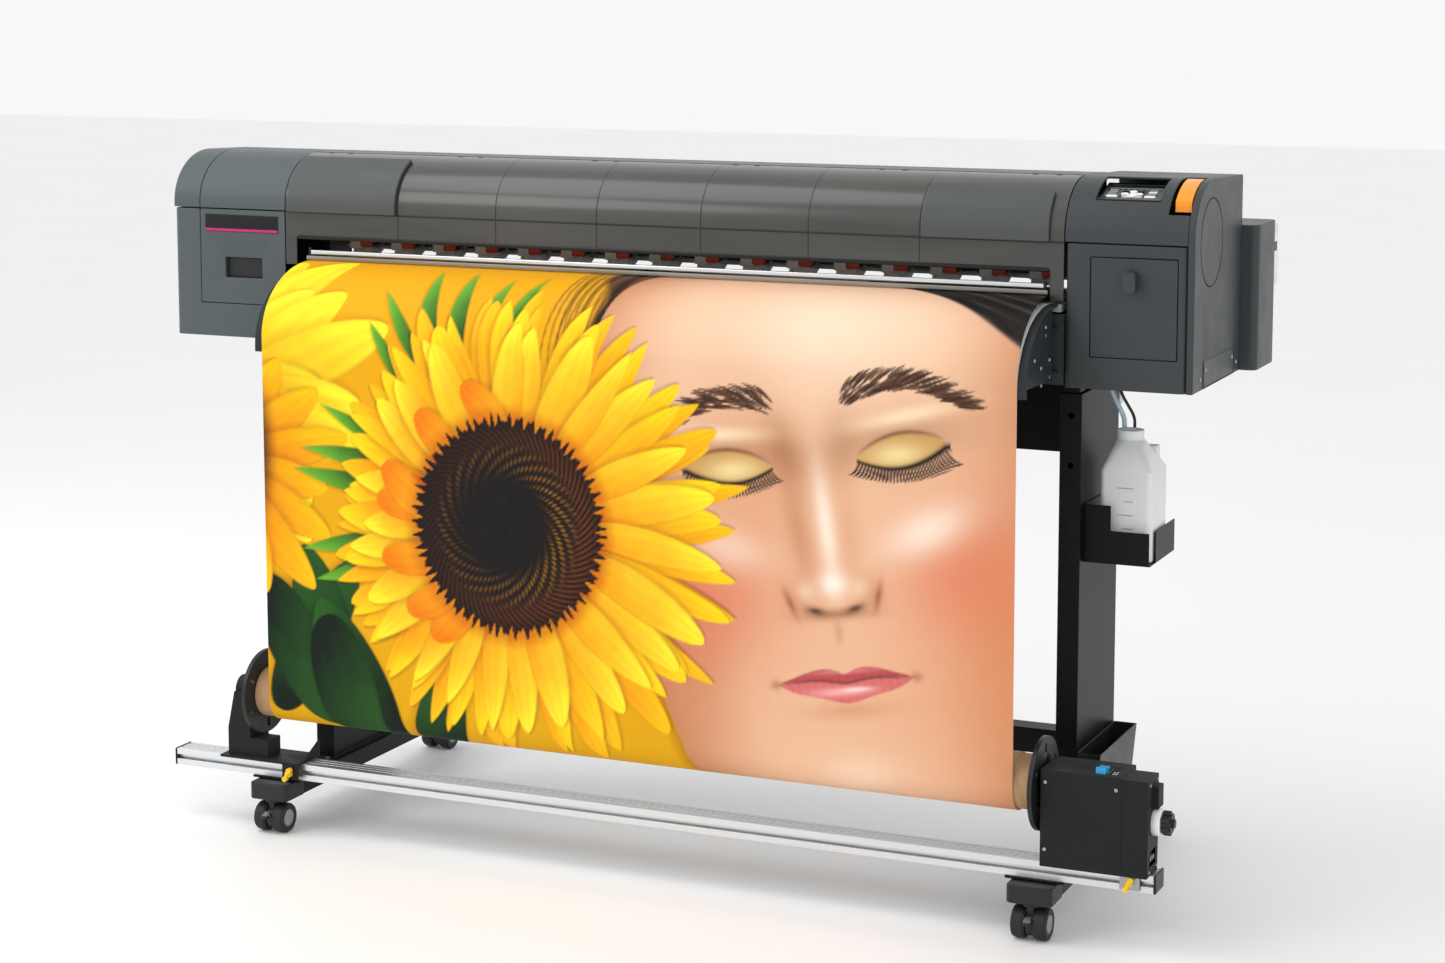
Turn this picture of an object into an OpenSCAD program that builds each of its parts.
// Wide-format roll-to-roll inkjet printer on its stand, with front take-up unit.
// Right-hand frame: X along the print width, -Y is the operator's side, Z up from the floor.

/* [Media] */
// Width of the widest media
media_w = 1371; // [1100:1:1650]
// Thickness of the media web
media_t = 0.8; // [0.5:0.1:1.2]
// Clear width beside the media at each end of the opening
side_gap = 37.5; // [32:0.5:60]
// How far the media lane sits to the right of the middle of the opening
lane_shift = 12; // [0:1:20]
// Outer radius of the cardboard core
core_r = 44; // [38:1:52]
// Radius of the unprinted supply roll
supply_r = 60; // [40:1:66]

/* [Body] */
// Width of the left unit
left_w = 236; // [200:1:290]
// Width of the right unit
right_w = 210; // [196:1:260]
// How far the ink box stands out past the right unit
ink_over = 28; // [16:1:40]
// Distance from the origin to the front face of the body
body_front = 150; // [140:1:170]
// Depth of the left unit and the middle
mid_d = 236; // [216:1:284]
// Depth of the right unit
right_d = 309; // [300:1:360]
// Height of the underside of the body above the floor
body_bottom = 858; // [700:1:1030]
// Height of the body
body_h = 332; // [300:1:400]
// Depth of the curved nose
nose_d = 110; // [90:1:130]
// Height of the curved nose
nose_h = 90; // [75:1:96]
// Drop from the top to the seam between the upper and lower covers
seam_drop = 100; // [98:1:110]
// Wall of the casings
wall = 4; // [3:0.5:5]
// Rounding of the upright corners
corner_r = 11; // [5:1:14]

/* [Print table] */
// Height of the platen above the underside of the body
platen_h = 132; // [120:1:150]
// Depth of the curved front apron
apron_d = 158; // [130:1:165]
// Height of the curved front apron
apron_h = 120; // [100:1:125]
// Radius of the feed roller
feed_r = 12; // [9:0.5:13]
// Radius of the pinch rollers
pinch_r = 7; // [5:0.5:8]
// Number of pinch rollers
pinch_n = 16; // [8:1:18]
// Width of the print carriage
carriage_w = 150; // [110:1:160]

/* [Stand] */
// Width of a leg
leg_w = 36; // [30:1:44]
// Depth of a leg
leg_d = 218; // [180:1:240]
// Left leg centre from the left unit's inner face
left_leg_in = 51; // [30:1:60]
// Right leg centre from the right unit's inner face
right_leg_out = 7; // [0:1:12]
// Length of a foot
foot_l = 642; // [600:1:660]
// Width of a foot tube
foot_w = 70; // [56:1:76]
// Height of a foot tube
foot_h = 30; // [24:1:40]
// Radius of a caster wheel
wheel_r = 26; // [20:0.5:30]
// Radius of the two accessory holes in each leg
leg_hole_r = 5; // [3:0.5:6]

/* [Take-up] */
// Radius of the flange discs
flange_r = 75; // [60:1:82]
// Depth of the take-up rail
rail_d = 47; // [40:1:56]
// Height of the take-up rail
rail_h = 29; // [24:1:34]
// Gap from the media edge to a flange
flange_gap = 32; // [20:1:34]
// Height of the motor housing
motor_h = 156; // [150:1:188]
// Radius of the spindle stubs
stub_r = 10; // [7:0.5:12]

/* [Waste bottle] */
// Width of the bottle
bottle_w = 86; // [70:1:94]
// Depth of the bottle
bottle_d = 98; // [80:1:108]
// Height of the bottle up to its neck
bottle_h = 192; // [160:1:196]

/* [Hidden] */
$fn = 48;
nose_n = 18;        // facets along the curved nose and the apron
gap = 1;            // visible gap between covers
fit = 0.3;          // clearance between pieces that slide or swing past each other
run = 0.05;         // radial clearance of a shaft in its bore
slate = "#565F63";
dark_slate = "#43494C";
black = "#1E1F21";

// Stations along X
open_w = media_w + 2 * side_gap;
total_w = left_w + open_w + right_w + ink_over;
x_l = -total_w / 2;
x_li = x_l + left_w;
x_ri = x_li + open_w;
x_ro = x_ri + right_w;
x_r = x_ro + ink_over;
x_m = (x_li + x_ri) / 2 + lane_shift;
m_l = x_m - media_w / 2;
m_r = x_m + media_w / 2;
side_t = 11;
x_side = x_ro - side_t;
strip_w = 55;

// Stations along Y
y_f = -body_front;
y_m = y_f + mid_d;
y_b = y_f + right_d;
y_c = y_f + nose_d;
y_cover = y_c - 10;

// Levels
z0 = body_bottom;
z_t = z0 + body_h;
z_s = z_t - seam_drop;
z_n = z_t - nose_h;
z_lip = z_t - 145;
z_p = z0 + platen_h;
top_slope = 0.032;
function top_z(y) = z_t - max(0, y - y_c) * top_slope;

// Inner gear: carriage beam, belt, carriage
beam_y0 = y_f + 102;
beam_y1 = beam_y0 + 40;
beam_z0 = z_p + 50;
beam_z1 = z_t - 60;
track_z = (beam_z0 + beam_z1) / 2;
track_t = 4;
track_h = 16;
pulley_r = 11.2;
belt_t = 1.5;
belt_w = 8;
belt_y = (beam_y0 + beam_y1) / 2 + 2;
belt_z = beam_z1 + 6;
pulley_x = x_side - 53;
idler_x = x_l + 28;
head_gap = 4;
car_y0 = y_f + 12;
car_y1 = y_f + 88;
car_z1 = z_t - 78;
home_x = pulley_x - 56;
car_travel = home_x - (x_l + 20 + carriage_w / 2);

// Feed and pinch rollers
nip_y = y_f + 112;
feed_z = z_p - feed_r - fit;
web_z = z_p + 0.2;
pinch_z = web_z + media_t + pinch_r + fit;
arm_y = nip_y + 33;
arm_z = z_p + 28;
arm_r = 4;
pinch_pitch = (media_w - 90) / (pinch_n - 1);
function pinch_x(i) = m_l + 45 + i * pinch_pitch;
pinch_w = 26;

// Hinge of the front cover
hinge_y = y_cover + 3;
hinge_z = z_t - 6;
barrel_r = 4.5;
hinge_n = 6;
function hinge_x(i) = x_li + 60 + i * (open_w - 120) / (hinge_n - 1);
barrel_w = 30;
lug_w = 7;

// Stand
caster_h = 2 * wheel_r + 8;
foot_z = caster_h;
leg_z = foot_z + foot_h;
pad_h = 12;
leg_top = z0 - pad_h;
leg_t = 2.5;
leg_lx = x_li + left_leg_in;
leg_rx = x_ri + right_leg_out;
leg_y0 = y_f + 23;
leg_y1 = leg_y0 + leg_d;
cap_l = 60;
cap_w = foot_w + 6;
caster_in = 24;
plate_t = 4;
hole_drop = 36;
hole_gap = 81.5;

// Take-up
front_y = -335;
axis_y = front_y + flange_r;
rail_z0 = leg_z + plate_t;
rail_z1 = rail_z0 + rail_h;
axis_z = rail_z1 + flange_r + 44;
rail_y0 = axis_y - 28;
rail_y1 = rail_y0 + rail_d;
rail_x0 = x_l + 75;
rail_x1 = x_r - 39;
slot_z = rail_z0 + rail_h / 2;
flange_t = 8;
fl_l = m_l - flange_gap;
fl_r = m_r + flange_gap;
motor_x0 = fl_r + flange_t + 6.5;
motor_x1 = motor_x0 + 130.5;
motor_x2 = motor_x1 + 42.5;
motor_y0 = axis_y - 50;
motor_y1 = axis_y + 35;
motor_y2 = motor_y0 + 63;
motor_z0 = rail_z1;
motor_z1 = motor_z0 + motor_h;
roll_r = core_r + 1.5;
sup_x1 = fl_l - flange_t - 12.5;
sup_x0 = sup_x1 - 46;
tab_w = 32;
tab_x0 = sup_x1 + 73;
wing_l_x = tab_x0 + tab_w / 2;
wing_r_x = motor_x1 + 10.5;
knob_y = motor_y0 + 36;
knob_z = motor_z0 + 83;

// Supply roll behind the stand
sup_y = leg_y1 + supply_r + 14;
sup_z = z0 - supply_r + 2;
spindle_r = 12;
arm_t = 8;

// Ink box
ink_y1 = y_b + 129;
ink_z1 = z0 + 242;
cart_w = 30;
cart_h = 104;
cart_gap = 0.6;
cart_z = z0 + 126;
cart_y0 = y_b + 25;
cart_y1 = ink_y1 + 67;
function cart_x(i) = x_r - 12 - cart_w - i * (cart_w + 10);

// Control panel plane
panel_w = 104;
panel_x = x_ri + 42;
panel_y = y_f + 26;
panel_z = z_t - 35;
panel_l = 78;
panel_tilt = 15.5;
panel_t = 4;
key_travel = 1;

// Lever
lever_w = 26;
slot_x0 = x_side - 35;
lever_x = x_side - 28.5;
pivot_y = y_f + 100;
pivot_z = z_t - 26;

// Bottle and tray beside the right leg
side_x = leg_rx + leg_w / 2;
tray_w = 40;
tray_h = 84;
tray_z = leg_z + 84;
sheet = 2;
br_y0 = leg_y0 + 22;
br_z = z0 - 289;
br_w = bottle_w + 22;
br_y1 = br_y0 + bottle_d + 53;
bottle_x = side_x + sheet + 17;
bottle_y = br_y0 + 20;
bottle_z = br_z + sheet + 1;
neck_x = bottle_x + bottle_w * 0.42;
neck_y = bottle_y + bottle_d / 2;
neck_r = 20;
cap_r = 22.5;
cap_h = 20;
neck_top = bottle_z + bottle_h + 12;

// Left door and right door
ldoor_x0 = x_l + strip_w + gap;
ldoor_x1 = x_li - gap;
ldoor_z0 = z0 + 61;
ldoor_z1 = z_s - 1;
rdoor_x0 = x_ri + 43;
rdoor_x1 = x_ri + 183;
rdoor_z0 = z0 + 52;
rdoor_z1 = z0 + 210;
pivot_r = 1.2;

// ---- helpers -------------------------------------------------------------
module block(x0, x1, y0, y1, z0, z1) translate([x0, y0, z0]) cube([x1 - x0, y1 - y0, z1 - z0]);

// Extrudes a (y, z) outline along +X from x, by w
module slab(x, w) translate([x, 0, 0]) rotate([90, 0, 90]) linear_extrude(w) children();

// Extrudes a (x, z) outline along +Y from y, by d
module curtain(y, d) translate([0, y + d, 0]) rotate([90, 0, 0]) linear_extrude(d) children();

module rod_x(x0, x1, y, z, r) translate([x0, y, z]) rotate([0, 90, 0]) cylinder(h = x1 - x0, r = r);
module rod_y(y0, y1, x, z, r) translate([x, y0, z]) rotate([-90, 0, 0]) cylinder(h = y1 - y0, r = r);
module rod_z(z0, z1, x, y, r) translate([x, y, z0]) cylinder(h = z1 - z0, r = r);

// Rectangle in plan with round corners
module round_rect(x0, x1, y0, y1, r) {
    translate([x0 + r, y0]) square([x1 - x0 - 2 * r, y1 - y0]);
    translate([x0, y0 + r]) square([x1 - x0, y1 - y0 - 2 * r]);
    for (x = [x0 + r, x1 - r], y = [y0 + r, y1 - r]) translate([x, y]) circle(r);
}

// Points of the nose curve, d inside the outer surface, from angle a0 (top) to a1 (front)
function nose(d, a0, a1) = [for (i = [0:nose_n]) let (a = a0 + (a1 - a0) * i / nose_n)
    [y_c - (nose_d - d) * sin(a), z_n + (nose_h - d) * cos(a)]];

// Side outline of a casing: nose, top that falls to the back, flat back, flat bottom
module side_outline(d, y_back, z_low) polygon(concat(
    [[y_back - d, z_low], [y_back - d, top_z(y_back) - d]],
    nose(d, 0, 90),
    [[y_f + d, z_low]]));

function reversed(p) = [for (i = [len(p) - 1:-1:0]) p[i]];

// ---- body casings --------------------------------------------------------
// Lower casing: open-topped tub with a wall all round; the inner face is cut down to the platen
module tub(x0, x1, y_back) {
    difference() {
        translate([0, 0, z0]) linear_extrude(z_s - gap - z0) round_rect(x0, x1, y_f, y_back, corner_r);
        translate([0, 0, z0 + wall]) linear_extrude(body_h)
            round_rect(x0 + wall, x1 - wall, y_f + wall, y_back - wall, corner_r - wall);
    }
}

// Round bore in a wall edge for one end of a door's pivot pin
module pivot_bore(x, z) rod_z(z - 3.5, z + 3.5, x, y_f + wall / 2, pivot_r + run);

module left_housing() color(slate) difference() {
    tub(x_l, x_li, y_m);
    block(ldoor_x0 - gap, x_li + 1, y_f - 1, y_f + wall + 0.01, ldoor_z0 - gap, z_s + 1);
    block(x_li - wall - corner_r, x_li + 1, y_f + wall, y_m - wall, z_p - 16, z_s + 1);
    pivot_bore(ldoor_x0 + 2, ldoor_z0 - 3);
}

module right_housing() color(dark_slate) {
    difference() {
        tub(x_ri, x_side, y_b);
        block(rdoor_x0 - gap, rdoor_x1 + gap, y_f - 1, y_f + wall + 0.01, rdoor_z0 - gap, rdoor_z1 + gap);
        block(x_ri - 1, x_ri + wall + corner_r, y_f + wall, y_m - wall, z_p - 16, z_s + 1);
        pivot_bore(rdoor_x0 + 2, rdoor_z0 - 3);
        pivot_bore(rdoor_x0 + 2, rdoor_z1 + 3);
        for (x = [side_x + 26, side_x + 40]) rod_z(z0 - 1, z0 + wall + 1, x, y_f + 98, 5);
    }
    // full-height side cover
    difference() {
        slab(x_side, side_t) side_outline(0, y_b, z0);
        slab(x_side - 1, side_t - wall + 1) side_outline(wall, y_b, z0 + wall);
        rod_x(x_side + side_t - 1.5, x_ro + 1, y_f + 106, z_s - 1, 71);
    }
    rod_x(x_ro - wall + 0.5, x_ro, y_f + 106, z_s - 1, 70);
    // lower service plate let into the side cover
    block(x_ro, x_ro + 0.8, y_f + 64, y_f + 262, z0 + 2, z0 + 45);
}

// Upper casing shell
module upper_shell(x0, x1, y_back, close_outer) difference() {
    slab(x0, x1 - x0) side_outline(0, y_back, z_s + gap);
    slab(x0 + close_outer, x1 - x0 - close_outer + 1) side_outline(wall, y_back, z_s - 1);
    if (close_outer == 0) slab(x0 - 1, 2) side_outline(wall, y_back, z_s - 1);
}

module left_top_cover() color(slate) {
    upper_shell(x_l, x_l + strip_w, y_m, wall);
    difference() {
        upper_shell(x_l + strip_w + gap, x_li, y_m, 0);
        pivot_bore(ldoor_x0 + 2, ldoor_z1 + 3);
    }
    // rib that joins the end strip to the main cover
    block(x_l + strip_w - 8, x_l + strip_w + 9, y_c, y_m - wall, z_t - 22, top_z(y_m) - wall + 0.2);
}

module panel_frame() translate([panel_x, panel_y, panel_z]) rotate([panel_tilt, 0, 0]) children();

module right_top_cover() color(dark_slate) difference() {
    upper_shell(x_ri, x_side - fit, y_b, 0);
    // sunk field for the control panel
    panel_frame() translate([0, 0, -0.01]) cube([panel_w, panel_l, 60]);
    panel_frame() translate([6, 6, -20]) cube([panel_w - 12, panel_l - 12, 30]);
    // slot for the lever
    block(slot_x0, x_side + 1, y_f - 1, pivot_y + 28, z_t - 52, z_t + 5);
}

module rear_cover() color("#6E787D") {
    difference() {
        slab(x_li + gap, open_w - 2 * gap) side_outline(0, y_m, z_p + 15);
        slab(x_li, open_w) side_outline(wall, y_m, z_p);
        block(x_li - 1, x_ri + 1, y_f - 1, y_c, z0, z_t + 9);
    }
    // lugs and pins of the cover hinge
    for (i = [0:hinge_n - 1]) {
        for (s = [-1, 1]) translate([hinge_x(i) + s * (barrel_w + lug_w + 1) / 2 - lug_w / 2, 0, 0])
            difference() {
                union() {
                    rod_x(0, lug_w, hinge_y, hinge_z, 4);
                    block(0, lug_w, hinge_y, y_c + 3, hinge_z - 4, hinge_z + 3);
                }
                rod_x(-1, lug_w + 1, hinge_y, hinge_z, 2);
            }
        rod_x(hinge_x(i) - barrel_w / 2 - lug_w, hinge_x(i) + barrel_w / 2 + lug_w, hinge_y, hinge_z, 2);
    }
}

module front_cover() color("#6B6A66", 0.85) {
    a0 = asin(10 / nose_d);
    frame_w = 22;
    difference() {
        union() {
            slab(x_li + 1.5, open_w - 3) polygon(concat(nose(0, a0, 90),
                [[y_f, z_lip], [y_f + 3, z_lip]], reversed(nose(3, a0, 90))));
            for (x = [x_li + 1.5, x_ri - 1.5 - frame_w])
                block(x, x + frame_w, y_f, y_f + 3, z_p + 6, z_lip);
            for (i = [0:hinge_n - 1])
                rod_x(hinge_x(i) - barrel_w / 2, hinge_x(i) + barrel_w / 2, hinge_y, hinge_z, barrel_r);
        }
        for (i = [0:hinge_n - 1]) {
            rod_x(hinge_x(i) - barrel_w, hinge_x(i) + barrel_w, hinge_y, hinge_z, 2 + run);
            for (s = [-1, 1]) translate([hinge_x(i) + s * (barrel_w + lug_w + 3) / 2, y_cover, z_t])
                cube([lug_w + 3, 12, 24], center = true);
        }
    }
}

module cover_end_panels() color("#77787A") {
    rise = 7;
    for (p = [[x_li + 8, 221, 27], [x_ri - 240, 215, 44]])
        slab(p[0], p[1]) polygon(concat(nose(-rise, p[2], 90),
            [[y_f - rise, z_s], [y_f - 0.1, z_s]], reversed(nose(-0.1, p[2], 90))));
}

// Door panel with pivot pins at its left edge
module door(x0, x1, z_0, z_1) {
    block(x0, x1, y_f, y_f + wall - fit, z_0, z_1);
    rod_z(z_0 - 3, z_1 + 3, x0 + 2, y_f + wall / 2, pivot_r);
}

module left_door() color(slate) {
    gx = ldoor_x0 + 52;
    gz = z0 + 108;
    difference() {
        door(ldoor_x0, ldoor_x1, ldoor_z0, ldoor_z1);
        block(gx, gx + 78, y_f - 1, y_f + wall + 1, gz, gz + 37);
    }
    difference() {
        block(gx - 2, gx + 80, y_f + wall - fit, y_f + 11.3, gz - 2, gz + 39);
        block(gx, gx + 78, y_f - 1, y_f + 9.5, gz, gz + 37);
    }
}

module right_door() color(dark_slate) difference() {
    door(rdoor_x0, rdoor_x1, rdoor_z0, rdoor_z1);
    rod_y(y_f - 1, y_f + wall + 1, rdoor_x0 + 67, rdoor_z1 - 36, 4 + run);
}

module door_knob() color(dark_slate) translate([rdoor_x0 + 67, 0, rdoor_z1 - 36]) {
    rod_y(y_f - 2, y_f + 7, 0, 0, 4);
    translate([0, y_f - 0.5, 0]) rotate([90, 0, 0]) linear_extrude(19.5) round_rect(-10.5, 10.5, -16, 16, 6);
    rod_y(y_f + wall + 0.5, y_f + 7, 0, 0, 8);
}

module ink_box() color(dark_slate) difference() {
    translate([0, 0, z0]) linear_extrude(ink_z1 - z0)
        round_rect(x_ri + 20, x_r, y_b + 0.3, ink_y1, 13);
    block(x_ri + 20 + wall, cart_x(1) - wall, y_b + wall, ink_y1 - wall, z0 + wall, ink_z1 - wall);
    for (i = [0, 1]) block(cart_x(i) - cart_gap, cart_x(i) + cart_w + cart_gap, cart_y0 - 1, ink_y1 + 1,
        cart_z - cart_gap, cart_z + cart_h + cart_gap);
}

module ink_cartridge(i) color("#D8DADC") difference() {
    block(cart_x(i), cart_x(i) + cart_w, cart_y0, cart_y1, cart_z, cart_z + cart_h);
    block(cart_x(i) + 8, cart_x(i) + cart_w - 8, cart_y1 - 10, cart_y1 + 1, cart_z + 30, cart_z + 74);
}

// ---- chassis and print gear ----------------------------------------------
module chassis() color("#4A4D50") {
    c_top = z_p - 16;
    difference() {
        block(x_li + 2, x_ri - 2, y_f + 10, y_m - 16, z0 + 2, c_top);
        block(x_li + 5, x_ri - 5, y_f + 13, y_m - 19, z0 + 5, c_top + 1);
    }
    for (i = [1:5]) block(x_li + i * open_w / 6 - 1.5, x_li + i * open_w / 6 + 1.5, y_f + 13, y_m - 19,
        z0 + 5, z_p - 2 * feed_r - 6);
    // side frames that carry the beam
    for (x = [x_li + 2.5, x_ri - 4.5])
        block(x, x + 2, beam_y1, y_m - 24, c_top - 20, beam_z1 - 8);
}

module carriage_beam() color("#B9BDC1") {
    x0 = idler_x + 17;
    x1 = pulley_x - 26;
    difference() {
        block(x0, x1, beam_y0, beam_y1, beam_z0, beam_z1);
        block(x0 - 1, x1 + 1, beam_y0 + 3, beam_y1 - 3, beam_z0 + 3, beam_z1 - 3);
    }
    // linear track
    block(x0, x1, beam_y0 - track_t, beam_y0, track_z - track_h / 2, track_z + track_h / 2);
}

module carriage() color("#2B2D30") translate([home_x, 0, 0]) {
    w = carriage_w / 2;
    bottom = z_p + head_gap;
    // head frame with four print heads below it
    difference() {
        block(-w, w, car_y0, car_y1, bottom + 8, car_z1);
        block(-w + 6, w - 6, car_y0 + 6, car_y1 - 6, bottom + 30, car_z1 + 1);
    }
    for (i = [0:3]) block(-w + 14 + i * 32, -w + 36 + i * 32, car_y0 + 10, car_y1 - 14, bottom, bottom + 8);
    // ink dampers standing in the frame
    for (i = [0:3]) block(-w + 12 + i * 32, -w + 38 + i * 32, car_y0 + 12, car_y1 - 12, bottom + 30, car_z1 - 8);
    // back plate, bearing around the track, belt clamp
    block(-40, 40, car_y1 - 0.5, car_y1 + 6, bottom + 40, belt_z + belt_w + 2);
    difference() {
        block(-35, 35, car_y1, beam_y0 - fit, track_z - track_h / 2 - 7, track_z + track_h / 2 + 7);
        block(-36, 36, beam_y0 - track_t - fit, beam_y0 + 1, track_z - track_h / 2 - fit,
            track_z + track_h / 2 + fit);
    }
    block(-10, 10, car_y1, belt_y - pulley_r - 0.1 - belt_t - fit, belt_z - 2, belt_z + belt_w + 2);
}

module belt_loop(r) {
    block(idler_x, pulley_x, belt_y - r, belt_y + r, belt_z, belt_z + belt_w);
    for (x = [idler_x, pulley_x]) rod_z(belt_z, belt_z + belt_w, x, belt_y, r);
}

module drive_belt() color("#202020") difference() {
    belt_loop(pulley_r + 0.1 + belt_t);
    translate([0, 0, -1]) scale([1, 1, 1]) {
        block(idler_x, pulley_x, belt_y - pulley_r - 0.1, belt_y + pulley_r + 0.1, belt_z, belt_z + belt_w + 2);
        for (x = [idler_x, pulley_x]) rod_z(belt_z, belt_z + belt_w + 2, x, belt_y, pulley_r + 0.1);
    }
}

module pulley(x) color("#A8ACB0") difference() {
    rod_z(belt_z - 1, belt_z + belt_w + 1, x, belt_y, pulley_r);
    rod_z(belt_z - 2, belt_z + belt_w + 2, x, belt_y, 4 + run);
}

module internal_modules() color("#3C5A46") {
    // carriage motor and its shaft, held by a plate on the beam's end
    rod_z(belt_z - 66, belt_z - 8, pulley_x, belt_y, 20);
    rod_z(belt_z - 8, belt_z + belt_w + 1, pulley_x, belt_y, 4);
    block(pulley_x - 26, pulley_x - 18, belt_y - 16, belt_y + 16, belt_z - 60, belt_z - 7);
    block(pulley_x - 26, pulley_x + 20, belt_y - 16, belt_y + 16, belt_z - 8, belt_z - 5);
    // idler axle and its bracket
    rod_z(belt_z - 6, belt_z + belt_w + 1, idler_x, belt_y, 4);
    block(idler_x - 12, idler_x + 17, belt_y - 12, belt_y + 12, belt_z - 10, belt_z - 4);
    // power supply and control board behind the capping station
    block(x_ri + 30, x_side - 20, y_m - 90, y_m - 30, z0 + wall, z0 + wall + 80);
    block(x_ri + 30, x_side - 10, y_b - 24, y_b - 21, z0 + wall, z0 + 220);
    // feed motor on the left end of the chassis
    rod_x(x_li - 62, x_li - 10, nip_y, feed_z, 9);
    block(x_li - 10, x_li - 7, nip_y - 16, nip_y + 16, z0 + wall, z_p - 18);
    // take-up gear motor
    rod_x(motor_x0 + 50, motor_x0 + 118, axis_y, axis_z, 24);
    block(motor_x0 + 46, motor_x0 + 50, axis_y - 26, axis_y + 26, motor_z0 + 2.5, axis_z + 26);
}

module platen() color("#C9CBCC") {
    difference() {
        union() {
            block(m_l - 20, m_r + 20, y_f + 4, y_m - 2, z_p - 12, z_p);
            rod_x(m_l - 20, m_r + 20, y_m - 2, z_p - 12, 12);
        }
        block(m_l - 12, m_r + 12, nip_y - feed_r - 1.5, nip_y + feed_r + 1.5, z_p - 13, z_p + 1);
        for (x = [m_l - 20, m_r + 7]) block(x - 1, x + 14, nip_y - 6, nip_y + 6, z_p - 30, feed_z + fit + 6);
        // vacuum holes
        for (i = [0:17]) rod_z(z_p - 13, z_p + 1, m_l + 60 + i * (media_w - 120) / 17, y_f + 50, 2);
    }
    // media edge bar in front of the pinch rollers
    block(m_l - 20, m_r + 20, nip_y - 18, nip_y - 14, web_z + media_t + 2, web_z + media_t + 12);
    for (x = [m_l - 20, m_r + 10]) block(x, x + 10, nip_y - 18, nip_y - 14, z_p, web_z + media_t + 3);
}

module feed_roller() color("#8D9296") {
    rod_x(m_l - 11, m_r + 11, nip_y, feed_z, feed_r);
    rod_x(x_li + 5.5, x_ri - 5.5, nip_y, feed_z, 5);
}

module pinch_arms() color("#D9D6CF") {
    rod_x(m_l - 6, m_r + 14, arm_y, arm_z, arm_r);
    for (i = [0:pinch_n - 1]) translate([pinch_x(i), 0, 0]) {
        for (s = [-1, 1]) translate([s * (pinch_w / 2 + 2.8) - 2.5, 0, 0]) slab(0, 5) polygon([
            [arm_y + 7, arm_z - 6], [arm_y + 7, arm_z + 6], [nip_y - 4, arm_z + 2],
            [nip_y - 7, pinch_z + 3], [nip_y - 4, pinch_z - 3], [nip_y + 6, pinch_z - 3]]);
        // bridge between the two cheeks, behind the roller
        block(-pinch_w / 2 - 2, pinch_w / 2 + 2, nip_y - 3, nip_y + 1, pinch_z + pinch_r + 2, arm_z + 2);
        rod_x(-pinch_w / 2 - 3, pinch_w / 2 + 3, nip_y, pinch_z, 2);
    }
}

module pinch_rollers() color("#D4532A") for (i = [0:pinch_n - 1]) difference() {
    rod_x(pinch_x(i) - pinch_w / 2, pinch_x(i) + pinch_w / 2, nip_y, pinch_z, pinch_r);
    rod_x(pinch_x(i) - pinch_w, pinch_x(i) + pinch_w, nip_y, pinch_z, 2 + run);
}

module capping_station() color("#35383B") translate([home_x, 0, 0]) {
    w = carriage_w / 2;
    block(-w + 6, w - 6, car_y0 + 4, car_y1 - 8, z_p - 60, z_p - 12);
    for (i = [0:3]) difference() {
        block(-w + 12 + i * 32, -w + 38 + i * 32, car_y0 + 8, car_y1 - 12, z_p - 12, z_p - 5);
        block(-w + 14 + i * 32, -w + 36 + i * 32, car_y0 + 10, car_y1 - 14, z_p - 10, z_p - 4);
    }
    // guide posts down to the casing floor
    for (x = [-w + 16, w - 16]) rod_z(z0 + wall + 1, z_p - 60, x, (car_y0 + car_y1) / 2, 6);
}

// Ellipse points of the apron, d outside its upper surface
function apron(d, a0, a1) = [for (i = [0:nose_n]) let (a = a0 + (a1 - a0) * i / nose_n)
    [y_f - (apron_d + d) * sin(a), z_p - apron_h + (apron_h + d) * cos(a)]];

module front_apron() {
    lo = z0 + 1;
    margin = 14.5;
    w = media_w + 2 * margin;
    color("#8E9294") slab(m_l - margin, w) polygon(concat([[y_f + 4, z_p]], apron(0, 0, 90),
        [[y_f - apron_d, lo], [y_f - apron_d + 3, lo]], reversed(apron(-3, 0, 90)), [[y_f + 4, z_p - 3]]));
    // end plates set just inside the skin's ends
    color("#2E3032") for (x = [m_l - margin + 0.5, m_r + margin - 3]) slab(x, 2.5) polygon(concat(
        apron(-1.5, 10, 88), [[y_f - 24, z_p - apron_h + 2], [y_f - 24, z_p - 4]]));
    color("#26282A") {
        block(m_l - margin + 1, m_r + margin - 1, y_f - 26, y_f - 22, z_p - apron_h + 1, z_p - 2);
        block(m_l - margin + 1, m_r + margin - 1, y_f - 23, y_f + 10, z_p - 40, z_p - 36);
        block(m_l - margin + 1, m_r + margin - 1, y_f - 23, y_f + 10, z_p - apron_h + 10, z_p - apron_h + 14);
    }
}

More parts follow.
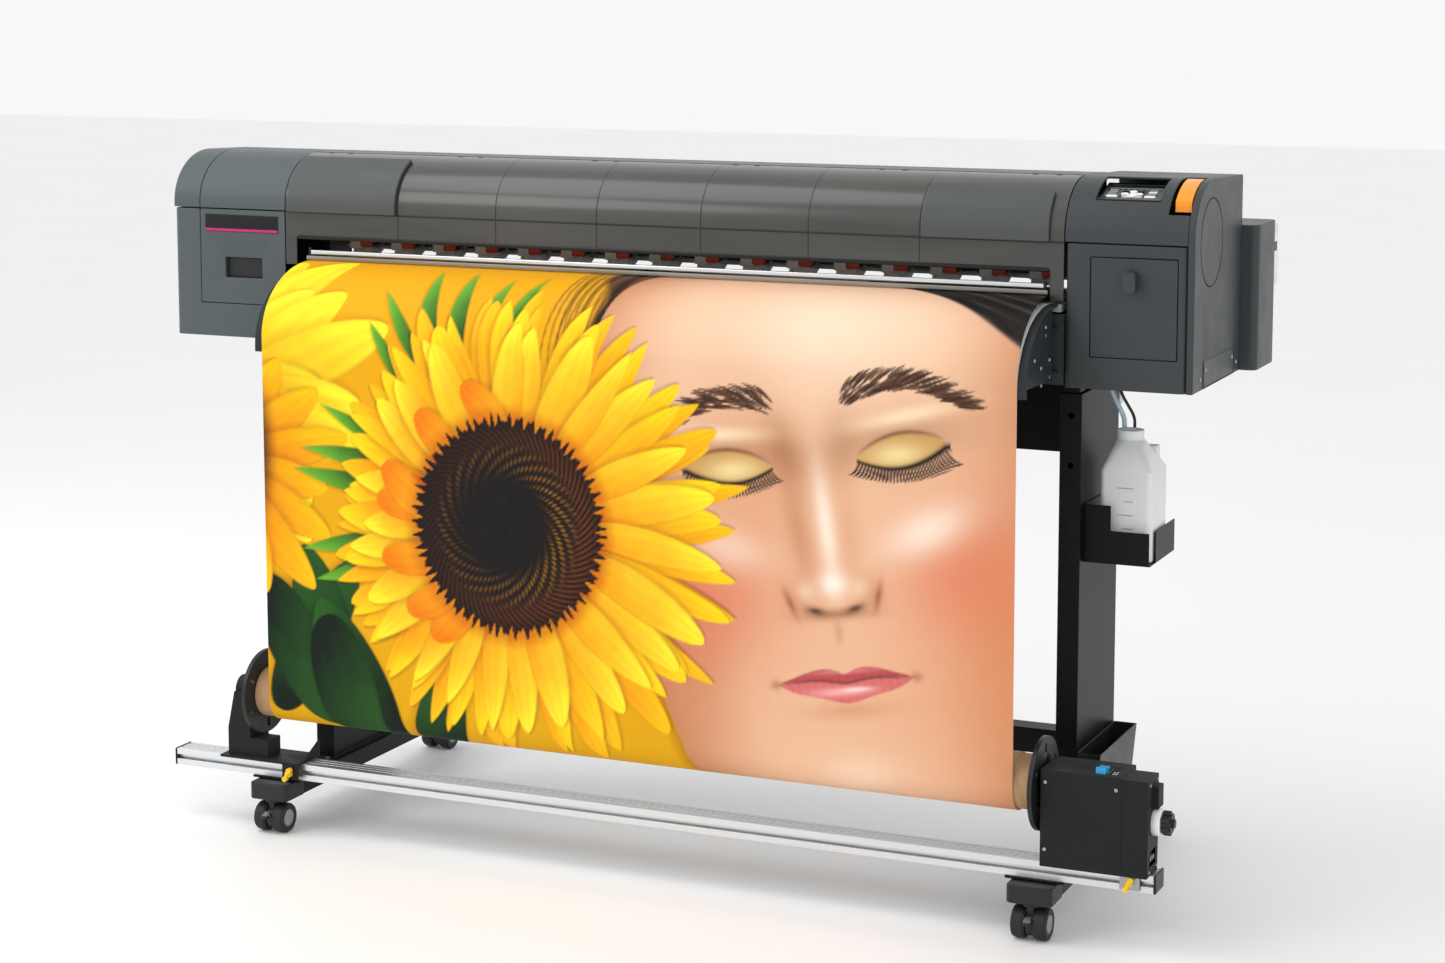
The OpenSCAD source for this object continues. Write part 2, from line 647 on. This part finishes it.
// ---- media ---------------------------------------------------------------
module media_web() color("#F2C230") {
    r = 12 + 0.2;
    y_end = axis_y - roll_r - 0.3;
    rear = [for (i = [0:6]) let (a = i * 15) [y_m - 2 + r * cos(a), z_p - 12 + r * sin(a)]];
    rear_out = [for (i = [0:6]) let (a = i * 15) [y_m - 2 + (r + media_t) * cos(a), z_p - 12 + (r + media_t) * sin(a)]];
    slab(m_l, media_w) polygon(concat(
        [[sup_y - supply_r - 0.5, sup_z]], rear, apron(0.2, 0, 90), [[y_end, axis_z]],
        [[y_end - media_t, axis_z]], reversed(apron(0.2 + media_t, 0, 90)), reversed(rear_out),
        [[sup_y - supply_r - 0.5 + media_t, sup_z]]));
    // last quarter turn, down the front of the core and under it
    difference() {
        rod_x(m_l, m_r, axis_y, axis_z, roll_r + 0.3 + media_t);
        rod_x(m_l - 1, m_r + 1, axis_y, axis_z, roll_r + 0.3);
        block(m_l - 1, m_r + 1, axis_y - roll_r - 5, axis_y + roll_r + 5, axis_z, axis_z + roll_r + 5);
        block(m_l - 1, m_r + 1, axis_y + 6, axis_y + roll_r + 5, axis_z - roll_r - 5, axis_z + 1);
    }
}

module supply_roll() color("#EDEDEA") {
    rod_x(m_l, m_r, sup_y, sup_z, supply_r - 1);
    for (x = [m_l - 6, m_r]) rod_x(x, x + 6, sup_y, sup_z, supply_r + 8);
    rod_x(leg_lx - leg_w / 2 - 12, leg_rx + 2, sup_y, sup_z, spindle_r);
}

// ---- controls ------------------------------------------------------------
module key_hole(x, y, w, d) translate([x - w / 2 - fit, y - d / 2 - fit, -1]) cube([w + 2 * fit, d + 2 * fit, panel_t + 2]);

module control_panel() color("#2A2C2E") panel_frame() difference() {
    translate([fit, fit, 0]) cube([panel_w - 2 * fit, panel_l - 2 * fit, panel_t]);
    translate([8, 50, panel_t - 0.6]) cube([88, 20, 3]);
    union() {
        key_hole(22, 14, 18, 8);
        key_hole(84, 14, 18, 8);
        key_hole(52, 25, 36, 30);
    }
}

module key(x, y, w, d) color("#E8E8E6") panel_frame() translate([x, y, 0]) {
    translate([0, 0, -0.8]) linear_extrude(panel_t + 2.2)
        round_rect(-w / 2, w / 2, -d / 2, d / 2, min(w, d) * 0.4);
    translate([0, 0, -2.8]) linear_extrude(2) round_rect(-w / 2 - 1.5, w / 2 + 1.5, -d / 2 - 1.5, d / 2 + 1.5, 2);
}

module menu_key() key(22, 14, 18, 8);
module enter_key() key(84, 14, 18, 8);

module arrow_pad() color("#E8E8E6") panel_frame() translate([52, 25, 0]) {
    translate([0, 0, -2.8]) linear_extrude(2) square([39, 33], center = true);
    translate([0, 0, -0.8]) linear_extrude(panel_t + 0.3) union() {
        square([34, 7], center = true);
        square([7, 28], center = true);
    }
    for (p = [[-11.5, 0], [11.5, 0], [0, -10.5], [0, 10.5]]) translate([p[0], p[1], panel_t - 1])
        linear_extrude(2.4) round_rect(-6, 6, -4, 4, 3.8);
}

module pressure_lever() color("#F28C0F") translate([lever_x, 0, 0]) {
    reach = 72;
    a1 = asin((reach + 10) / (nose_d - 1));
    difference() {
        union() {
            slab(0, lever_w) polygon(concat(nose(1, asin(6 / nose_d), a1),
                [[y_f + 26, z_t - 48], [y_f + 38, z_t - 48]], reversed(nose(13, asin(6 / nose_d), a1 - 4))));
            rod_x(0, lever_w, pivot_y, pivot_z, 14);
            slab(4, lever_w - 8) polygon([[pivot_y - 13, pivot_z], [pivot_y + 8, pivot_z], [pivot_y + 6, z_t - 8],
                [pivot_y - 16, z_t - 8]]);
        }
        rod_x(-1, lever_w + 1, pivot_y, pivot_z, 5 + run);
    }
}

// ---- stand ---------------------------------------------------------------
module leg(x) difference() {
    block(x - leg_w / 2, x + leg_w / 2, leg_y0, leg_y1, leg_z, leg_top);
    block(x - leg_w / 2 + leg_t, x + leg_w / 2 - leg_t, leg_y0 + leg_t, leg_y1 - leg_t, leg_z - 1, leg_top + 1);
    for (z = [leg_top - hole_drop, leg_top - hole_drop - hole_gap]) rod_y(leg_y0 - 1, leg_y0 + leg_t + 1, x, z, leg_hole_r);
}

module tube_x(x0, x1, y0, y1, z_0, z_1) difference() {
    block(x0, x1, y0, y1, z_0, z_1);
    block(x0 - 1, x1 + 1, y0 + leg_t, y1 - leg_t, z_0 + leg_t, z_1 - leg_t);
}

module stand_frame() color(black) {
    mid = (leg_y0 + leg_y1) / 2;
    in_l = leg_lx + leg_w / 2;
    in_r = leg_rx - leg_w / 2;
    for (x = [leg_lx, leg_rx]) {
        leg(x);
        // rubber-faced top pads
        for (y = [leg_y0 + 2, leg_y1 - 32]) block(x - 14, x + 14, y, y + 30, leg_top, z0);
        // foot tube with the rail plate across its front
        translate([0, 0, 0]) difference() {
            block(x - foot_w / 2, x + foot_w / 2, -foot_l / 2 + cap_l, foot_l / 2 - cap_l, foot_z, leg_z);
            block(x - foot_w / 2 + 3, x + foot_w / 2 - 3, -foot_l / 2 + cap_l - 1, foot_l / 2 - cap_l + 1,
                foot_z + 3, leg_z - 3);
        }
        block(x - foot_w / 2 - 14, x + foot_w / 2 + 14, rail_y0 - 4, rail_y1 + 22, leg_z, rail_z0);
    }
    tube_x(in_l, in_r, mid - 30, mid + 30, leg_top - 110, leg_top);
    tube_x(in_l, in_r, mid - 21, mid + 21, leg_z + 134, leg_z + 176);
    // arms that carry the supply roll
    for (x = [leg_lx - leg_w / 2, leg_rx - leg_w / 2]) difference() {
        block(x, x + arm_t, leg_y1, sup_y + 24, sup_z - 40, sup_z + 14);
        rod_x(x - 1, x + arm_t + 1, sup_y, sup_z, spindle_r + fit);
        block(x - 1, x + arm_t + 1, sup_y - spindle_r - fit, sup_y + spindle_r + fit, sup_z, sup_z + 30);
    }
}

module foot_cap(x, s) mirror([0, s > 0 ? 1 : 0, 0]) translate([0, 0, foot_z]) linear_extrude(foot_h) union() {
    round_rect(x - cap_w / 2, x + cap_w / 2, -foot_l / 2, -foot_l / 2 + cap_l, 9);
    translate([x - cap_w / 2, -foot_l / 2 + cap_l / 2]) square([cap_w, cap_l / 2]);
}

module end_caps() color("#2A2B2D") {
    for (x = [leg_lx, leg_rx], s = [-1, 1]) foot_cap(x, s);
    for (x = [rail_x0 - 4, rail_x1]) block(x, x + 4, rail_y0 - 1, rail_y1 + 1, rail_z0 - 1, rail_z1 + 1);
}

module caster_fork(x, y) color("#232426") {
    difference() {
        union() {
            rod_x(x - 6, x + 6, y, wheel_r, wheel_r - 5);
            block(x - 6, x + 6, y - 12, y + 12, wheel_r, foot_z - 5);
        }
        rod_x(x - 8, x + 8, y, wheel_r, 3 + run);
    }
    rod_z(2 * wheel_r + 1.5, foot_z, x, y, 16);
}

module caster_wheel(x, y) color("#18191A") {
    for (s = [-1, 1]) translate([x + s * 18 - 11, 0, 0]) difference() {
        union() {
            rod_x(0, 22, y, wheel_r, wheel_r - 1.5);
            rod_x(3, 19, y, wheel_r, wheel_r);
        }
        rod_x(s < 0 ? -1 : 20, s < 0 ? 2 : 23, y, wheel_r, wheel_r * 0.6);
    }
    rod_x(x - 8, x + 8, y, wheel_r, 3);
}

module brake_tab(x, y) color("#9EA1A4") {
    bz = wheel_r + 8;
    slab(x - 5, 10) polygon([[y - wheel_r + 3, bz - 3], [y - wheel_r + 1, bz + 7], [y - wheel_r - 11, bz + 1],
        [y - wheel_r - 11, bz - 3]]);
    rod_x(x - 6, x + 6, y - wheel_r - 1, bz + 1, 2.5);
}

// ---- take-up -------------------------------------------------------------
module takeup_rail() color("#C8CBCE") difference() {
    block(rail_x0, rail_x1, rail_y0, rail_y1, rail_z0, rail_z1);
    // T-slot in the front face
    block(rail_x0 - 1, rail_x1 + 1, rail_y0 - 1, rail_y0 + 9, slot_z - 4, slot_z + 4);
    block(rail_x0 - 1, rail_x1 + 1, rail_y0 + 3, rail_y0 + 9, slot_z - 7, slot_z + 7);
    // grooves in the top face
    for (y = [rail_y0 + 13, rail_y0 + 24, rail_y0 + 35])
        block(rail_x0 - 1, rail_x1 + 1, y, y + 4, rail_z1 - 3, rail_z1 + 1);
    rod_x(rail_x0 - 1, rail_x1 + 1, rail_y0 + 30, rail_z0 + rail_h / 2 - 3, 6);
}

module takeup_flanges() color("#26272A") {
    for (p = [[fl_l - flange_t, -1], [fl_r, 1]]) difference() {
        rod_x(p[0], p[0] + flange_t, axis_y, axis_z, flange_r);
        for (a = [0:60:300]) translate([p[0] - 1, axis_y, axis_z]) rotate([a, 0, 0]) translate([0, -4, 50])
            cube([flange_t + 2, 8, 14]);
    }
    // plugs that grip the core, and stubs outside
    rod_x(fl_l, fl_l + 40, axis_y, axis_z, core_r - 5);
    rod_x(fl_r - 40, fl_r, axis_y, axis_z, core_r - 5);
    rod_x(fl_l - flange_t - 26, fl_l, axis_y, axis_z, stub_r);
    rod_x(fl_r, motor_x0 + 44, axis_y, axis_z, stub_r);
}

module takeup_core() {
    color("#B58B63") difference() {
        rod_x(fl_l + 0.5, fl_r - 0.5, axis_y, axis_z, core_r);
        rod_x(fl_l, fl_r, axis_y, axis_z, core_r - 5);
    }
    color("#E8E4DA") difference() {
        rod_x(m_l, m_r, axis_y, axis_z, roll_r);
        rod_x(m_l - 1, m_r + 1, axis_y, axis_z, core_r);
    }
}

module left_support() color("#343639") {
    base = rail_z1 + fit;
    zt = axis_z;
    difference() {
        union() {
            curtain(rail_y0 - 2, 60) polygon([[sup_x0, base + 4], [sup_x1, base + 4], [sup_x1, zt],
                [sup_x0 + 14, zt], [sup_x0, base + 52]]);
            rod_x(sup_x0 + 13, sup_x1, axis_y, axis_z, 24);
        }
        rod_x(sup_x1 - 16, sup_x1 + 1, axis_y, axis_z, stub_r + run);
    }
    block(sup_x1, sup_x1 + 37, rail_y0 - 2, rail_y0 + 38, base + 4, base + 36);
    // base plate on the rail, clamp tab in front, gusset behind
    block(sup_x0 - 10, tab_x0 + tab_w, rail_y0 - 14, rail_y1 + 14, base, base + 4);
    difference() {
        block(tab_x0, tab_x0 + tab_w, rail_y0 - 14, rail_y0 - 10, rail_z0 + 3, base + 4);
        rod_y(rail_y0 - 20, rail_y0, wing_l_x, slot_z, 3 + run);
    }
    slab(tab_x0 + tab_w - 3, 3) polygon([[rail_y0 + 10, base + 4], [rail_y1 + 14, base + 4], [rail_y1 + 14, base + 30]]);
}

module wing_screw(x, y_head) color("#F2C21A") {
    rod_y(y_head, rail_y0 + 8, x, slot_z, 3);
    rod_y(y_head - 8, y_head, x, slot_z, 6);
    translate([x, y_head - 9, slot_z]) rotate([0, 28, 0]) {
        cube([5, 8, 24], center = true);
        for (s = [-1, 1]) translate([0, -4, s * 9]) rotate([-90, 0, 0]) cylinder(h = 8, r = 4.6);
    }
}

module motor_housing() {
    t = 2.5;
    color("#333538") difference() {
        union() {
            block(motor_x0, motor_x1, motor_y0, motor_y1, motor_z0, motor_z1);
            block(motor_x1, motor_x2, motor_y0, motor_y2, motor_z0, motor_z1 - 2);
        }
        block(motor_x0 + t, motor_x1 - t, motor_y0 + t, motor_y1 - t, motor_z0 + t, motor_z1 - t);
        block(motor_x1 - t - 1, motor_x2 - t, motor_y0 + t, motor_y2 - t, motor_z0 + t, motor_z1 - 2 - t);
        rod_x(motor_x0 - 1, motor_x0 + 6, axis_y, axis_z, stub_r + 1);
        block(motor_x1 - 47, motor_x1 - 28, motor_y0 + 12, motor_y0 + 40, motor_z1 - 9, motor_z1 + 1);
        block(motor_x2 - 9, motor_x2 + 1, motor_y0 + 15, motor_y0 + 50, motor_z0 + 14, motor_z0 + 38);
        rod_x(motor_x2 - 4, motor_x2 + 1, knob_y, knob_z, 5 + run);
    }
    // side connector block
    color(black) block(motor_x2, motor_x2 + 10, motor_y0 + 26, motor_y0 + 55, motor_z0 + 106, motor_z0 + 141);
    // clamp plate down the front of the rail
    color("#C8CBCE") difference() {
        block(wing_r_x - 16, wing_r_x + 16, rail_y0 - 4.3, rail_y0 - 0.3, rail_z0 + 3, motor_z0);
        rod_y(rail_y0 - 6, rail_y0 + 1, wing_r_x, slot_z, 3 + run);
    }
    // collar of the adjusting knob
    color("#E6E6E2") difference() {
        rod_x(motor_x2, motor_x2 + 14, knob_y, knob_z, 21);
        rod_x(motor_x2 - 1, motor_x2 + 15, knob_y, knob_z, 5 + run);
    }
}

module rocker_switch() color("#1B9FDA") translate([motor_x1 - 45.5, motor_y0 + 26, motor_z1 - 1]) rotate([-8, 0, 0])
    union() {
        slab(0, 16) polygon([[-12, -2], [12, -2], [12, 9], [0, 6.5], [-12, 9]]);
        rod_x(-1, 17, 0, 0, 3);
    }

module tension_knob() color("#1C1D1F") {
    rod_x(motor_x2 - 2, motor_x2 + 16, knob_y, knob_z, 5);
    rod_x(motor_x2 + 14.5, motor_x2 + 30, knob_y, knob_z, 15);
    for (a = [0:60:300]) translate([0, knob_y, knob_z]) rotate([a, 0, 0])
        rod_x(motor_x2 + 16, motor_x2 + 28, 0, 15, 5);
    rod_x(motor_x2 + 30, motor_x2 + 34, knob_y, knob_z, 7);
}

// ---- beside the right leg ------------------------------------------------
module bottle_bracket() color(black) {
    x1 = side_x + br_w;
    block(side_x, side_x + sheet, br_y0, br_y1, br_z, br_z + 95);
    block(side_x, side_x + 44, br_y0, br_y0 + sheet, br_z, br_z + 95);
    block(side_x, x1, br_y0, br_y0 + sheet, br_z, br_z + 54);
    block(side_x, x1 + sheet, br_y0, br_y1, br_z, br_z + sheet);
    block(x1, x1 + sheet, br_y0 + 34, br_y1, br_z, br_z + 53);
}

module bottle_skin(d) hull() {
    c = 10;
    for (x = [bottle_x + c, bottle_x + bottle_w - c], y = [bottle_y + c, bottle_y + bottle_d - c]) {
        translate([x, y, bottle_z + d]) cylinder(h = 145 - 2 * d, r = c - d, $fn = 32);
    }
    translate([neck_x, neck_y, bottle_z + bottle_h - 6 - d]) cylinder(h = 6, r = neck_r + 3 - d, $fn = 32);
}

module waste_bottle() color("#E9EDEE", 0.9) {
    difference() {
        union() {
            bottle_skin(0);
            rod_z(bottle_z + bottle_h - 6, neck_top, neck_x, neck_y, neck_r);
        }
        bottle_skin(1.5);
        rod_z(bottle_z + bottle_h - 20, neck_top + 1, neck_x, neck_y, neck_r - 2);
    }
    difference() {
        rod_z(neck_top - cap_h + 4, neck_top + 3, neck_x, neck_y, cap_r);
        rod_z(neck_top - cap_h + 3, neck_top, neck_x, neck_y, neck_r);
    }
    // handle over the back shoulder
    block(bottle_x + bottle_w - 30, bottle_x + bottle_w - 12, bottle_y + bottle_d - 26, bottle_y + bottle_d - 4,
        bottle_z + 150, bottle_z + 178);
}

module tool_tray() color("#2B2D2F") difference() {
    curtain(leg_y0 + 2, leg_d - 2) polygon([[side_x + 0.3, tray_z], [side_x + tray_w - 8, tray_z],
        [side_x + tray_w, tray_z + tray_h], [side_x + 0.3, tray_z + tray_h]]);
    curtain(leg_y0 + 2 + sheet, leg_d - 2 - 2 * sheet) polygon([[side_x + sheet, tray_z + sheet],
        [side_x + tray_w - 8 - sheet, tray_z + sheet], [side_x + tray_w - sheet, tray_z + tray_h + 1],
        [side_x + sheet, tray_z + tray_h + 1]]);
}

// Round tube swept along a list of points with 8 sides
function unit(v) = v / norm(v);
function tangent(p, i) = unit(p[min(i + 1, len(p) - 1)] - p[max(i - 1, 0)]);
function ring(p, i, r) = let (t = tangent(p, i), u = unit(cross(t, [0, 1, 0])), v = cross(t, u))
    [for (k = [0:7]) p[i] + r * (cos(45 * k) * u + sin(45 * k) * v)];
module sweep(p, r) {
    n = len(p);
    polyhedron(points = [for (i = [0:n - 1]) each ring(p, i, r)], faces = concat(
        [[for (k = [0:7]) k]], [[for (k = [7:-1:0]) (n - 1) * 8 + k]],
        [for (i = [0:n - 2], k = [0:7]) [i * 8 + k, (i + 1) * 8 + k, (i + 1) * 8 + (k + 1) % 8, i * 8 + (k + 1) % 8]]));
}

// Routes of the two drain tubes, from the underside of the casing to the bottle cap
clear_route = [[773, -52, 858], [773, -52, 852], [774, -51.5, 846], [776, -51, 839], [779, -49.5, 831],
    [782.5, -47.5, 823], [786, -45, 815], [789, -43, 808], [791.5, -41, 801], [793, -40, 794], [793.5, -39.5, 782.5]];
black_route = [[787, -52, 858], [787, -52, 852], [788.5, -51.5, 846], [791, -50.5, 839], [794.5, -49, 831],
    [798.5, -46.5, 823], [802.5, -43.5, 815], [805.5, -40, 808], [807.5, -36.5, 801], [808.5, -34, 794], [808.5, -33, 782.5]];
module drain_tube_clear() color("#BFD6E2", 0.7) sweep(clear_route, 4);
module drain_tube_black() color("#161719") sweep(black_route, 2.5);

// ---- fasteners -----------------------------------------------------------
module fasteners() color("#B4B7BA") {
    for (p = [[y_f + 45, z0 + 18], [y_f + 281, z0 + 18]]) rod_x(x_ro, x_ro + 1.6, p[0], p[1], 3);
    for (p = [[y_f - 62, z_p - 42], [y_f - 40, z0 + 22], [y_f - 84, z0 + 14]])
        rod_x(m_r + 14.5, m_r + 16.5, p[0], p[1], 3);
    for (z = [motor_z0 + 28, motor_z0 + motor_h - 20]) rod_y(motor_y0 - 1.6, motor_y0, motor_x0 + 8, z, 2.5);
    for (x = [leg_lx, leg_rx]) rod_z(leg_z, leg_z + 3, x + 10, leg_y0 - 8, 4);
}

chassis();
left_housing();
right_housing();
left_top_cover();
right_top_cover();
rear_cover();
control_panel();
ink_box();
carriage_beam();
platen();
front_apron();
drive_belt();
internal_modules();
stand_frame();
end_caps();
fasteners();
takeup_rail();
motor_housing();
bottle_bracket();
waste_bottle();
tool_tray();
media_web();
drain_tube_clear();
drain_tube_black();
front_cover();
cover_end_panels();
left_door();
right_door();
door_knob();
pressure_lever();
carriage();
pulley(pulley_x);  // drive_pulley
pulley(idler_x);  // idler_pulley
feed_roller();
pinch_arms();
pinch_rollers();
capping_station();
supply_roll();
takeup_flanges();
takeup_core();
left_support();
wing_screw(wing_l_x, rail_y0 - 14.2);  // wing_screw_left
wing_screw(wing_r_x, rail_y0 - 4.5);  // wing_screw_right
rocker_switch();
tension_knob();
caster_fork(leg_lx, -foot_l / 2 + caster_in);  // caster_fork_fl
caster_fork(leg_rx, -foot_l / 2 + caster_in);  // caster_fork_fr
caster_fork(leg_lx, foot_l / 2 - caster_in);  // caster_fork_rl
caster_fork(leg_rx, foot_l / 2 - caster_in);  // caster_fork_rr
caster_wheel(leg_lx, -foot_l / 2 + caster_in);  // caster_wheel_fl
caster_wheel(leg_rx, -foot_l / 2 + caster_in);  // caster_wheel_fr
caster_wheel(leg_lx, foot_l / 2 - caster_in);  // caster_wheel_rl
caster_wheel(leg_rx, foot_l / 2 - caster_in);  // caster_wheel_rr
brake_tab(leg_lx, -foot_l / 2 + caster_in);  // brake_tab_l
brake_tab(leg_rx, -foot_l / 2 + caster_in);  // brake_tab_r
arrow_pad();
menu_key();
enter_key();
ink_cartridge(0);  // ink_cartridge_1
ink_cartridge(1);  // ink_cartridge_2
